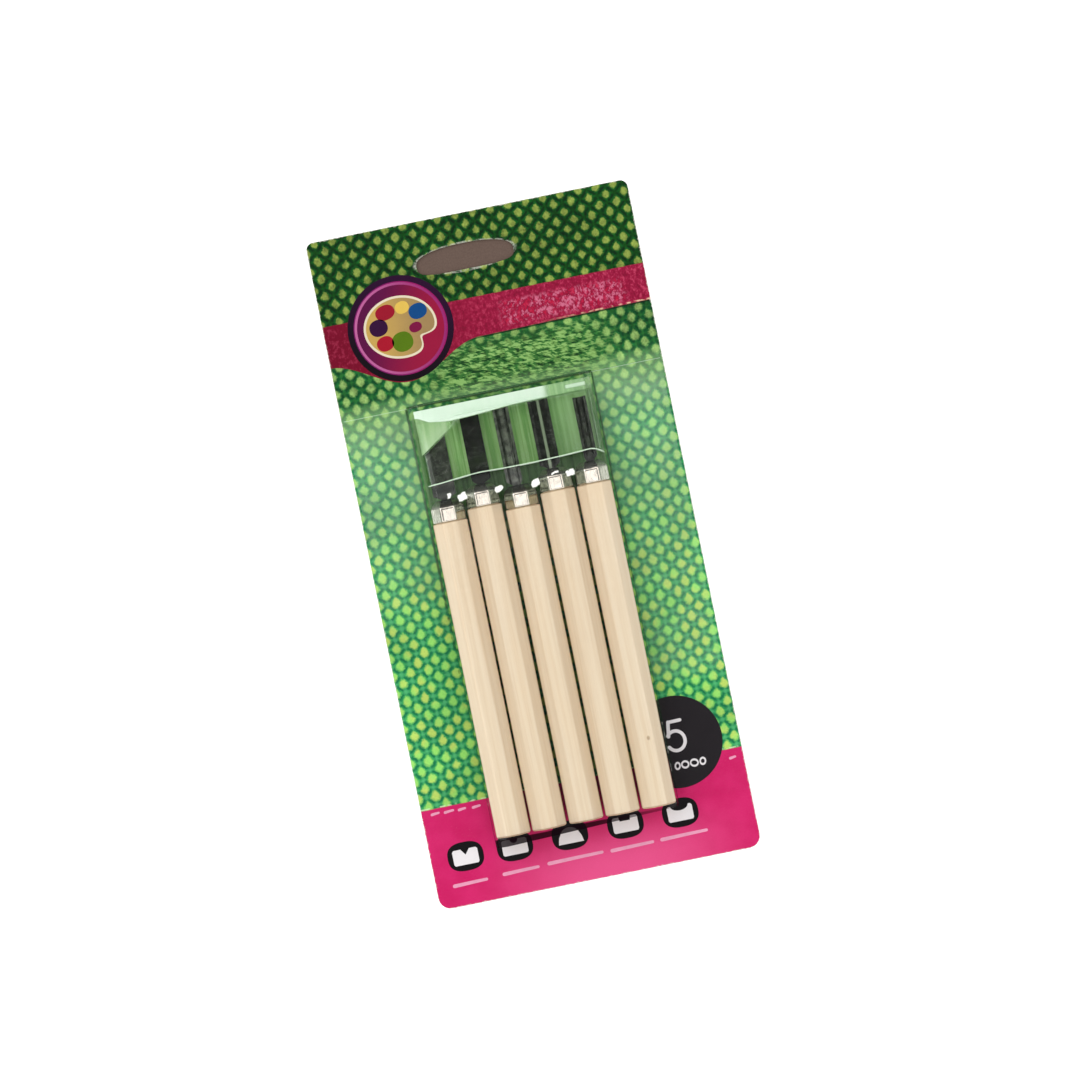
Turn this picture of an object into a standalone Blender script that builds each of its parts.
"""Five wood-handled lino-cutting tools held on a hang card, as one assembly of separate pieces.

The card lies flat with its back on z = 0, its hang slot is towards +Y and the tools lie on top of it.
Each tool is a faceted wooden handle, a pressed metal ferrule and a steel blade whose tang sits in the
handle. A soft clear guard covers all five blades. A clear film tunnel, bonded to the card along both
of its long flanges and open at its two ends, holds the row down.
"""

import math
from collections import namedtuple

import bmesh
import bpy
from mathutils import Matrix, Vector

COLLECTION_NAME = "lino_tool_set"

# Gap kept between neighbouring solids.
GAP = 0.0003

# Card.
CARD_WIDTH = 0.106
CARD_LENGTH = 0.220
CARD_THICKNESS = 0.0006
CARD_TOP_RADIUS = 0.0025
CARD_BOTTOM_RADIUS = 0.0040

# Hang slot: an oval with an arched upper side and a flatter lower side.
SLOT_CENTRE = (-0.0032, 0.0957)
SLOT_HALF_WIDTH = 0.0160
SLOT_RISE = 0.0046
SLOT_DROP = 0.0039
SLOT_RISE_POWER = 2.3
SLOT_DROP_POWER = 4.0
SLOT_STEPS = 40

# Handles.
HANDLE_WIDTH = 0.0115
HANDLE_SIDES = 8
HANDLE_END_Y = -0.0902
HANDLE_EDGE_RADIUS = 0.0005
NECK_WIDTH = 0.0094
NECK_LENGTH = 0.0042
BORE_RADIUS = 0.0022
BORE_DEPTH = 0.0190
AXIS_HEIGHT = CARD_THICKNESS + GAP + HANDLE_WIDTH / 2

# Ferrules: an eight-sided band with a shoulder in two slopes that closes in on the blade.
FERRULE_WIDTH = 0.0108
FERRULE_BAND_LENGTH = 0.0048
FERRULE_SLOPES = ((0.0007, 0.0012), (0.0015, 0.0012))
FERRULE_WALL = 0.0004
FERRULE_EDGE_RADIUS = 0.0005
FERRULE_HOLE_RADIUS = 0.0024
FERRULE_LENGTH = FERRULE_BAND_LENGTH + sum(rise for inset, rise in FERRULE_SLOPES)

# Blades: a bar runs from the tang in the handle to the heel, where the cutting body starts.
STEEL_THICKNESS = 0.0016
SHANK_WIDTH = 0.0028
TANG_TIP_SCALE = 0.6
TANG_DEPTH = 0.0170
HEEL_Y = FERRULE_LENGTH + GAP
SHOULDER_Y = HEEL_Y + 0.0012
HEEL_RAMP = 0.0030
SHANK_END_Y = SHOULDER_Y + HEEL_RAMP
GOUGE_WALL = 0.0009
U_GOUGE_DEPTH = 0.0033
VEE_GOUGE_DEPTH = 0.0034
VEE_FLOOR_HALF_WIDTH = 0.0007
VEE_LIP_WIDTH = 0.0011
CHISEL_BEVEL_LENGTH = 0.0040
EDGE_LAND = 0.0002
SKEW_DROP = 0.0052

# Blade guard.
GUARD_LEFT_X = -0.0294
GUARD_RIGHT_X = 0.0284
GUARD_MOUTH_Y = 0.0250
GUARD_POCKET_END_Y = 0.0459
GUARD_END_Y = 0.0495
GUARD_MOUTH_HALF_HEIGHT = 0.0041
GUARD_POCKET_HALF_HEIGHT = 0.0031
GUARD_SEAL_HALF_HEIGHT = 0.0005
GUARD_WALL = 0.0004
GUARD_EDGE_RADIUS = 0.0028

# Film.
FILM_THICKNESS = 0.0003
FILM_START_Y = -0.0934
FILM_END_Y = 0.0512
FILM_FLANGE_INSET = 0.0008
FILM_LEFT_X = -0.0311
FILM_RIGHT_X = 0.02925
FILM_SHOULDER_RUN = 0.0038
FILM_CORNER_RADIUS = 0.0016

Tool = namedtuple("Tool", "x shoulder_y blade width blade_shift tip_y")
TOOLS = (
    Tool(-0.02475, 0.0126, "skew", 0.0074, 0.0000, 0.0402),
    Tool(-0.01300, 0.0153, "chisel", 0.0062, 0.0008, 0.0453),
    Tool(-0.00095, 0.0126, "u_gouge", 0.0052, -0.0009, 0.0452),
    Tool(0.01100, 0.0157, "vee_gouge", 0.0066, -0.0006, 0.0453),
    Tool(0.02290, 0.0156, "u_gouge", 0.0043, 0.0008, 0.0437),
)

COLOURS = {
    "printed_card": ((0.10, 0.42, 0.20), 0.55, 0.0),
    "clear_film": ((0.88, 0.94, 0.90), 0.15, 0.0),
    "clear_vinyl": ((0.72, 0.88, 0.78), 0.20, 0.0),
    "pale_wood": ((0.78, 0.64, 0.47), 0.60, 0.0),
    "ferrule_metal": ((0.80, 0.80, 0.80), 0.25, 1.0),
    "blade_steel": ((0.10, 0.10, 0.11), 0.35, 1.0),
}


def clear_scene():
    for existing in list(bpy.data.objects):
        bpy.data.objects.remove(existing, do_unlink=True)


def make_collection(name):
    collection = bpy.data.collections.new(name)
    bpy.context.scene.collection.children.link(collection)
    return collection


def make_materials():
    materials = {}
    for name, (colour, roughness, metallic) in COLOURS.items():
        material = bpy.data.materials.new(name)
        material.use_nodes = True
        shader = material.node_tree.nodes["Principled BSDF"]
        shader.inputs["Base Color"].default_value = (*colour, 1.0)
        shader.inputs["Roughness"].default_value = roughness
        shader.inputs["Metallic"].default_value = metallic
        materials[name] = material
    return materials


def make_object(name, bm, collection, parent=None, location=(0, 0, 0)):
    """Turn a bmesh into an object and free the bmesh."""
    mesh = bpy.data.meshes.new(name)
    bmesh.ops.recalc_face_normals(bm, faces=bm.faces)
    bm.to_mesh(mesh)
    bm.free()
    created = bpy.data.objects.new(name, mesh)
    created.location = location
    created.parent = parent
    collection.objects.link(created)
    return created


def make_cutter(name, bm, collection, parent=None, location=(0, 0, 0)):
    cutter = make_object(name, bm, collection, parent, location)
    hide_cutter(cutter)
    return cutter


def hide_cutter(cutter):
    cutter.hide_render = True
    cutter.display_type = "WIRE"


def add_boolean(target, tool, operation):
    modifier = target.modifiers.new(f"{operation.lower()}_{tool.name}", "BOOLEAN")
    modifier.operation = operation
    modifier.object = tool


def add_bevel(target, width, segments):
    modifier = target.modifiers.new("rounded_edges", "BEVEL")
    modifier.width = width
    modifier.segments = segments
    modifier.limit_method = "ANGLE"
    modifier.angle_limit = math.radians(30)


def smooth(target, angle_degrees=35):
    target.data.shade_smooth()
    target.data.set_sharp_from_angle(angle=math.radians(angle_degrees))


def arc(centre, radius, start_degrees, end_degrees, steps):
    """Points on an arc, both ends included."""
    points = []
    for step in range(steps + 1):
        angle = math.radians(start_degrees + (end_degrees - start_degrees) * step / steps)
        points.append((centre[0] + radius * math.cos(angle), centre[1] + radius * math.sin(angle)))
    return points


def outline_object(name, points, thickness, collection, upright=False):
    """A flat closed outline given a thickness, as a welded mesh object.

    The outline lies in XY and is centred on z = 0. With upright it stands in XZ instead, centred on y = 0.
    """
    curve = bpy.data.curves.new(name, "CURVE")
    curve.dimensions = "2D"
    curve.fill_mode = "BOTH"
    curve.extrude = thickness / 2
    spline = curve.splines.new("POLY")
    spline.points.add(len(points) - 1)
    for point, (across, along) in zip(spline.points, points):
        point.co = (across, along, 0, 1)
    spline.use_cyclic_u = True
    drawn = bpy.data.objects.new(name + "_outline", curve)
    if upright:
        drawn.rotation_euler = (math.radians(90), 0, 0)
    collection.objects.link(drawn)
    bpy.context.view_layer.update()
    evaluated = drawn.evaluated_get(bpy.context.evaluated_depsgraph_get())
    mesh = bpy.data.meshes.new_from_object(evaluated)
    mesh.name = name
    bm = bmesh.new()
    bm.from_mesh(mesh)
    bmesh.ops.remove_doubles(bm, verts=bm.verts, dist=1e-6)
    bmesh.ops.recalc_face_normals(bm, faces=bm.faces)
    bm.to_mesh(mesh)
    bm.free()
    solid = bpy.data.objects.new(name, mesh)
    solid.matrix_world = drawn.matrix_world.copy()
    collection.objects.link(solid)
    bpy.data.objects.remove(drawn, do_unlink=True)
    return solid


def prism(width, sides, start_y, end_y):
    """A closed prism along Y with a flat face up, measured across its flats."""
    bm = bmesh.new()
    radius = width / 2 / math.cos(math.pi / sides)
    along_y = Matrix.Rotation(math.radians(-90), 4, "X") @ Matrix.Rotation(math.pi / sides, 4, "Z")
    place = Matrix.Translation((0, (start_y + end_y) / 2, 0))
    bmesh.ops.create_cone(
        bm, cap_ends=True, segments=sides, radius1=radius, radius2=radius,
        depth=end_y - start_y, matrix=place @ along_y,
    )
    return bm


def round_bar(radius, segments, start_y, end_y):
    return prism(2 * radius * math.cos(math.pi / segments), segments, start_y, end_y)


def block(low, high):
    """A closed box between two corners."""
    bm = bmesh.new()
    middle = [(a + b) / 2 for a, b in zip(low, high)]
    spans = [b - a for a, b in zip(low, high)]
    place = Matrix.Translation(middle) @ Matrix.Diagonal((*spans, 1))
    bmesh.ops.create_cube(bm, size=1, matrix=place)
    return bm


def make_card(parts, cutters, material):
    half_width = CARD_WIDTH / 2
    half_length = CARD_LENGTH / 2
    corners = (
        (half_width, -half_length, CARD_BOTTOM_RADIUS, -90),
        (half_width, half_length, CARD_TOP_RADIUS, 0),
        (-half_width, half_length, CARD_TOP_RADIUS, 90),
        (-half_width, -half_length, CARD_BOTTOM_RADIUS, 180),
    )
    outline = []
    for corner_x, corner_y, radius, start in corners:
        centre = (corner_x - math.copysign(radius, corner_x), corner_y - math.copysign(radius, corner_y))
        outline += arc(centre, radius, start, start + 90, 5)
    card = outline_object("backing_card", outline, CARD_THICKNESS, parts)
    card.location.z = CARD_THICKNESS / 2
    card.data.materials.append(material)
    slot = outline_object("hang_slot", slot_outline(), 6 * CARD_THICKNESS, cutters)
    slot.location = (*SLOT_CENTRE, CARD_THICKNESS / 2)
    hide_cutter(slot)
    add_boolean(card, slot, "DIFFERENCE")


def slot_outline():
    """An oval made of two superellipse halves that share their end points."""
    points = []
    for step in range(SLOT_STEPS):
        angle = 2 * math.pi * step / SLOT_STEPS
        upper = math.sin(angle) >= 0
        power = SLOT_RISE_POWER if upper else SLOT_DROP_POWER
        height = SLOT_RISE if upper else SLOT_DROP
        across = math.copysign(abs(math.cos(angle)) ** (2 / power), math.cos(angle))
        along = math.copysign(abs(math.sin(angle)) ** (2 / power), math.sin(angle))
        points.append((SLOT_HALF_WIDTH * across, height * along))
    return points


def make_handle(name, tool, parent, parts, cutters, material):
    length = tool.shoulder_y - HANDLE_END_Y
    handle = make_object(name, prism(HANDLE_WIDTH, HANDLE_SIDES, -length, 0), parts, parent)
    handle.data.materials.append(material)
    add_bevel(handle, HANDLE_EDGE_RADIUS, 2)
    neck_body = prism(NECK_WIDTH, HANDLE_SIDES, -HANDLE_WIDTH / 2, NECK_LENGTH)
    neck = make_cutter(name + "_neck", neck_body, cutters, parent)
    add_boolean(handle, neck, "UNION")
    bore_body = round_bar(BORE_RADIUS, 16, -BORE_DEPTH, 2 * NECK_LENGTH)
    bore = make_cutter(name + "_bore", bore_body, cutters, parent)
    add_boolean(handle, bore, "DIFFERENCE")
    smooth(handle)


def shouldered_prism(width, start_y, band_end_y):
    """An eight-sided band closed at +Y by the ferrule's two slopes."""
    bm = prism(width, HANDLE_SIDES, start_y, band_end_y)
    for inset, rise in FERRULE_SLOPES:
        top = max(bm.faces, key=lambda face: face.calc_center_median().y)
        bmesh.ops.inset_region(bm, faces=[top], thickness=inset, depth=rise)
    return bm


def make_ferrule(name, parent, parts, cutters, material):
    body = shouldered_prism(FERRULE_WIDTH, GAP, FERRULE_BAND_LENGTH)
    rim = min(vertex.co.y for vertex in body.verts) + GAP
    above_rim = [edge for edge in body.edges if max(end.co.y for end in edge.verts) > rim]
    bmesh.ops.bevel(body, geom=above_rim, offset=FERRULE_EDGE_RADIUS, offset_type="OFFSET",
                    segments=2, profile=0.5, affect="EDGES")
    ferrule = make_object(name, body, parts, parent)
    ferrule.data.materials.append(material)
    inside_width = FERRULE_WIDTH - 2 * FERRULE_WALL
    inside_body = shouldered_prism(inside_width, -FERRULE_LENGTH, FERRULE_BAND_LENGTH - FERRULE_WALL)
    inside = make_cutter(name + "_inside", inside_body, cutters, parent)
    add_boolean(ferrule, inside, "DIFFERENCE")
    hole_body = round_bar(FERRULE_HOLE_RADIUS, 20, 0, 2 * FERRULE_LENGTH)
    hole = make_cutter(name + "_hole", hole_body, cutters, parent)
    add_boolean(ferrule, hole, "DIFFERENCE")
    smooth(ferrule)


def flat_section(width):
    half = width / 2
    return [(-half, -STEEL_THICKNESS / 2), (half, -STEEL_THICKNESS / 2),
            (half, STEEL_THICKNESS / 2), (-half, STEEL_THICKNESS / 2)]


def u_gouge_section(width):
    """A U channel open upwards, its floor level with the shank's underside."""
    outer = width / 2
    inner = outer - GOUGE_WALL
    floor = -STEEL_THICKNESS / 2
    centre = (0, floor + outer)
    rim = floor + U_GOUGE_DEPTH
    points = [(outer, rim), (inner, rim)]
    points += arc(centre, inner, 0, -180, 10)
    points += [(-inner, rim), (-outer, rim)]
    points += arc(centre, outer, 180, 360, 10)
    return points


def vee_gouge_section(width):
    """A V channel open upwards with a narrow flat floor."""
    half = width / 2
    floor = -STEEL_THICKNESS / 2
    rim = floor + VEE_GOUGE_DEPTH
    valley = floor + GOUGE_WALL
    outer_land = VEE_FLOOR_HALF_WIDTH
    inner_land = VEE_FLOOR_HALF_WIDTH * 0.7
    inner_rim = half - VEE_LIP_WIDTH
    return [(-half, rim), (-outer_land, floor), (outer_land, floor), (half, rim),
            (inner_rim, rim), (inner_land, valley), (-inner_land, valley), (-inner_rim, rim)]


SECTIONS = {"skew": flat_section, "chisel": flat_section, "u_gouge": u_gouge_section,
            "vee_gouge": vee_gouge_section}


def blade_plan(tool):
    """The blade seen from above: shoulders at the heel, straight sides and the cutting end."""
    half = tool.width / 2
    left = tool.blade_shift - half
    right = tool.blade_shift + half
    tip = tool.tip_y - tool.shoulder_y
    left_tip = tip - SKEW_DROP if tool.blade == "skew" else tip
    shank_left = tool.blade_shift / 2 - SHANK_WIDTH / 2
    shank_right = tool.blade_shift / 2 + SHANK_WIDTH / 2
    return [(shank_left, HEEL_Y), (shank_right, HEEL_Y), (right, SHOULDER_Y),
            (right, tip), (left, left_tip), (left, SHOULDER_Y)]


def make_tang(name, tool, parent, cutters):
    """The bar that tapers into the handle and ends in a ramp at the blade's heel."""
    bm = block((-SHANK_WIDTH / 2, -TANG_DEPTH, -STEEL_THICKNESS / 2),
               (SHANK_WIDTH / 2, SHANK_END_Y, STEEL_THICKNESS / 2))
    for vertex in bm.verts:
        if vertex.co.y < 0:
            vertex.co.x *= TANG_TIP_SCALE
            vertex.co.z *= TANG_TIP_SCALE
        elif vertex.co.z > 0:
            vertex.co.y -= HEEL_RAMP
    bmesh.ops.translate(bm, verts=bm.verts, vec=(tool.blade_shift / 2, 0, 0))
    return make_cutter(name + "_tang", bm, cutters, parent)


def make_edge_cutter(name, tool, parent, cutters):
    """The wedge that grinds the cutting end: from above on a flat blade, from below on a gouge."""
    tip = tool.tip_y - tool.shoulder_y
    flat = tool.blade in ("skew", "chisel")
    slope = math.atan2(STEEL_THICKNESS - EDGE_LAND, CHISEL_BEVEL_LENGTH)
    reach = 4 * CHISEL_BEVEL_LENGTH
    bm = block((-reach, 0, 0), (reach, reach, reach))
    if flat:
        hinge = Vector((0, tip - CHISEL_BEVEL_LENGTH, STEEL_THICKNESS / 2))
        turn = Matrix.Rotation(-slope, 4, "X")
    else:
        hinge = Vector((0, tip - CHISEL_BEVEL_LENGTH / 2, -STEEL_THICKNESS / 2))
        bmesh.ops.translate(bm, verts=bm.verts, vec=(0, 0, -reach))
        turn = Matrix.Rotation(slope, 4, "X")
    if tool.blade == "skew":
        lean = math.atan2(SKEW_DROP, tool.width)
        turn = Matrix.Rotation(lean, 4, "Z") @ turn
        hinge = Vector((0, tip - SKEW_DROP / 2 - CHISEL_BEVEL_LENGTH / 2, STEEL_THICKNESS / 2))
    bmesh.ops.transform(bm, matrix=Matrix.Translation(hinge) @ turn, verts=bm.verts)
    return make_cutter(name + "_grind", bm, cutters, parent)


def make_blade(name, tool, parent, parts, cutters, material):
    length = tool.tip_y - tool.shoulder_y
    section = [(across + tool.blade_shift, up) for across, up in SECTIONS[tool.blade](tool.width)]
    blade = outline_object(name, section, 3 * length, parts, upright=True)
    blade.parent = parent
    blade.data.materials.append(material)
    plan = outline_object(name + "_plan", blade_plan(tool), 2 * HANDLE_WIDTH, cutters)
    plan.parent = parent
    hide_cutter(plan)
    add_boolean(blade, plan, "INTERSECT")
    add_boolean(blade, make_edge_cutter(name, tool, parent, cutters), "DIFFERENCE")
    add_boolean(blade, make_tang(name, tool, parent, cutters), "UNION")
    smooth(blade)


def make_tool(number, tool, parts, cutters, materials):
    holder = bpy.data.objects.new(f"tool_{number}_axis", None)
    holder.location = (tool.x, tool.shoulder_y, AXIS_HEIGHT)
    parts.objects.link(holder)
    make_handle(f"handle_{number}", tool, holder, parts, cutters, materials["pale_wood"])
    make_ferrule(f"ferrule_{number}", holder, parts, cutters, materials["ferrule_metal"])
    make_blade(f"blade_{number}", tool, holder, parts, cutters, materials["blade_steel"])


def wedge(half_width, start_y, end_y, start_half_height, end_half_height, edge_radius):
    """A box along Y with rounded long edges, whose height changes evenly from one end to the other."""
    bm = block((-half_width, start_y, -1), (half_width, end_y, 1))
    middle = (start_y + end_y) / 2
    for vertex in bm.verts:
        vertex.co.z *= start_half_height if vertex.co.y < middle else end_half_height
    long_edges = [edge for edge in bm.edges if edge.verts[0].co.x == edge.verts[1].co.x
                  and abs(edge.verts[0].co.y - edge.verts[1].co.y) > (end_y - start_y) / 2]
    bmesh.ops.bevel(bm, geom=long_edges, offset=edge_radius, offset_type="OFFSET", segments=4,
                    profile=0.5, affect="EDGES", clamp_overlap=False)
    return bm


def make_guard(parts, cutters, material):
    half_width = (GUARD_RIGHT_X - GUARD_LEFT_X) / 2
    place = ((GUARD_RIGHT_X + GUARD_LEFT_X) / 2, GUARD_MOUTH_Y, AXIS_HEIGHT)
    pocket = GUARD_POCKET_END_Y - GUARD_MOUTH_Y
    outer = wedge(half_width, 0, pocket, GUARD_MOUTH_HALF_HEIGHT, GUARD_POCKET_HALF_HEIGHT,
                  GUARD_EDGE_RADIUS)
    guard = make_object("blade_guard", outer, parts, location=place)
    guard.data.materials.append(material)
    inner = wedge(
        half_width - GUARD_WALL, -pocket, pocket - GUARD_WALL,
        2 * GUARD_MOUTH_HALF_HEIGHT - GUARD_POCKET_HALF_HEIGHT - GUARD_WALL,
        GUARD_POCKET_HALF_HEIGHT - GUARD_WALL, GUARD_EDGE_RADIUS - GUARD_WALL,
    )
    add_boolean(guard, make_cutter("guard_pocket", inner, cutters, location=place), "DIFFERENCE")
    seal = block(
        (-half_width, pocket - GUARD_WALL / 2, -GUARD_SEAL_HALF_HEIGHT),
        (half_width, GUARD_END_Y - GUARD_MOUTH_Y, GUARD_SEAL_HALF_HEIGHT),
    )
    add_boolean(guard, make_cutter("guard_seal", seal, cutters, location=place), "UNION")
    smooth(guard)


def fillet(corner, before, after, radius, steps):
    """Points that round one corner of an open line."""
    back = (Vector(before) - Vector(corner)).normalized()
    ahead = (Vector(after) - Vector(corner)).normalized()
    half_angle = back.angle(ahead) / 2
    reach = radius / math.tan(half_angle)
    start = Vector(corner) + back * reach
    end = Vector(corner) + ahead * reach
    centre = Vector(corner) + (back + ahead).normalized() * (radius / math.sin(half_angle))
    points = []
    for step in range(steps + 1):
        spoke = (start - centre).normalized().slerp((end - centre).normalized(), step / steps)
        points.append(tuple(centre + radius * spoke))
    return points


def film_line():
    """The film's outer line across the card: flange, wall, shoulder, top, shoulder, wall, flange."""
    flange_z = CARD_THICKNESS + GAP + FILM_THICKNESS
    top_z = CARD_THICKNESS + GAP + HANDLE_WIDTH + GAP + FILM_THICKNESS
    shoulder_z = top_z - FILM_SHOULDER_RUN
    edge_x = CARD_WIDTH / 2 - FILM_FLANGE_INSET
    corners = [
        (-edge_x, flange_z), (FILM_LEFT_X, flange_z), (FILM_LEFT_X, shoulder_z),
        (FILM_LEFT_X + FILM_SHOULDER_RUN, top_z), (FILM_RIGHT_X - FILM_SHOULDER_RUN, top_z),
        (FILM_RIGHT_X, shoulder_z), (FILM_RIGHT_X, flange_z), (edge_x, flange_z),
    ]
    points = [corners[0]]
    for before, corner, after in zip(corners, corners[1:], corners[2:]):
        at_shoulder = corner[1] in (shoulder_z, top_z)
        radius = FILM_CORNER_RADIUS if at_shoulder else GAP
        points += fillet(corner, before, after, radius, 3)
    points.append(corners[-1])
    return points


def make_film(parts, material):
    bm = bmesh.new()
    lines = []
    for y in (FILM_START_Y, FILM_END_Y):
        lines.append([bm.verts.new((x, y, z)) for x, z in film_line()])
    start, end = lines
    for index in range(len(start) - 1):
        bm.faces.new((start[index], start[index + 1], end[index + 1], end[index]))
    mesh = bpy.data.meshes.new("film_cover")
    bm.to_mesh(mesh)
    bm.free()
    film = bpy.data.objects.new("film_cover", mesh)
    parts.objects.link(film)
    film.data.materials.append(material)
    thickness = film.modifiers.new("film_thickness", "SOLIDIFY")
    thickness.thickness = FILM_THICKNESS
    thickness.offset = -1
    thickness.use_even_offset = True
    smooth(film)


def main():
    clear_scene()
    parts = make_collection(COLLECTION_NAME)
    cutters = make_collection(COLLECTION_NAME + "_cutters")
    materials = make_materials()
    make_card(parts, cutters, materials["printed_card"])
    for number, tool in enumerate(TOOLS, start=1):
        make_tool(number, tool, parts, cutters, materials)
    make_guard(parts, cutters, materials["clear_vinyl"])
    make_film(parts, materials["clear_film"])


main()
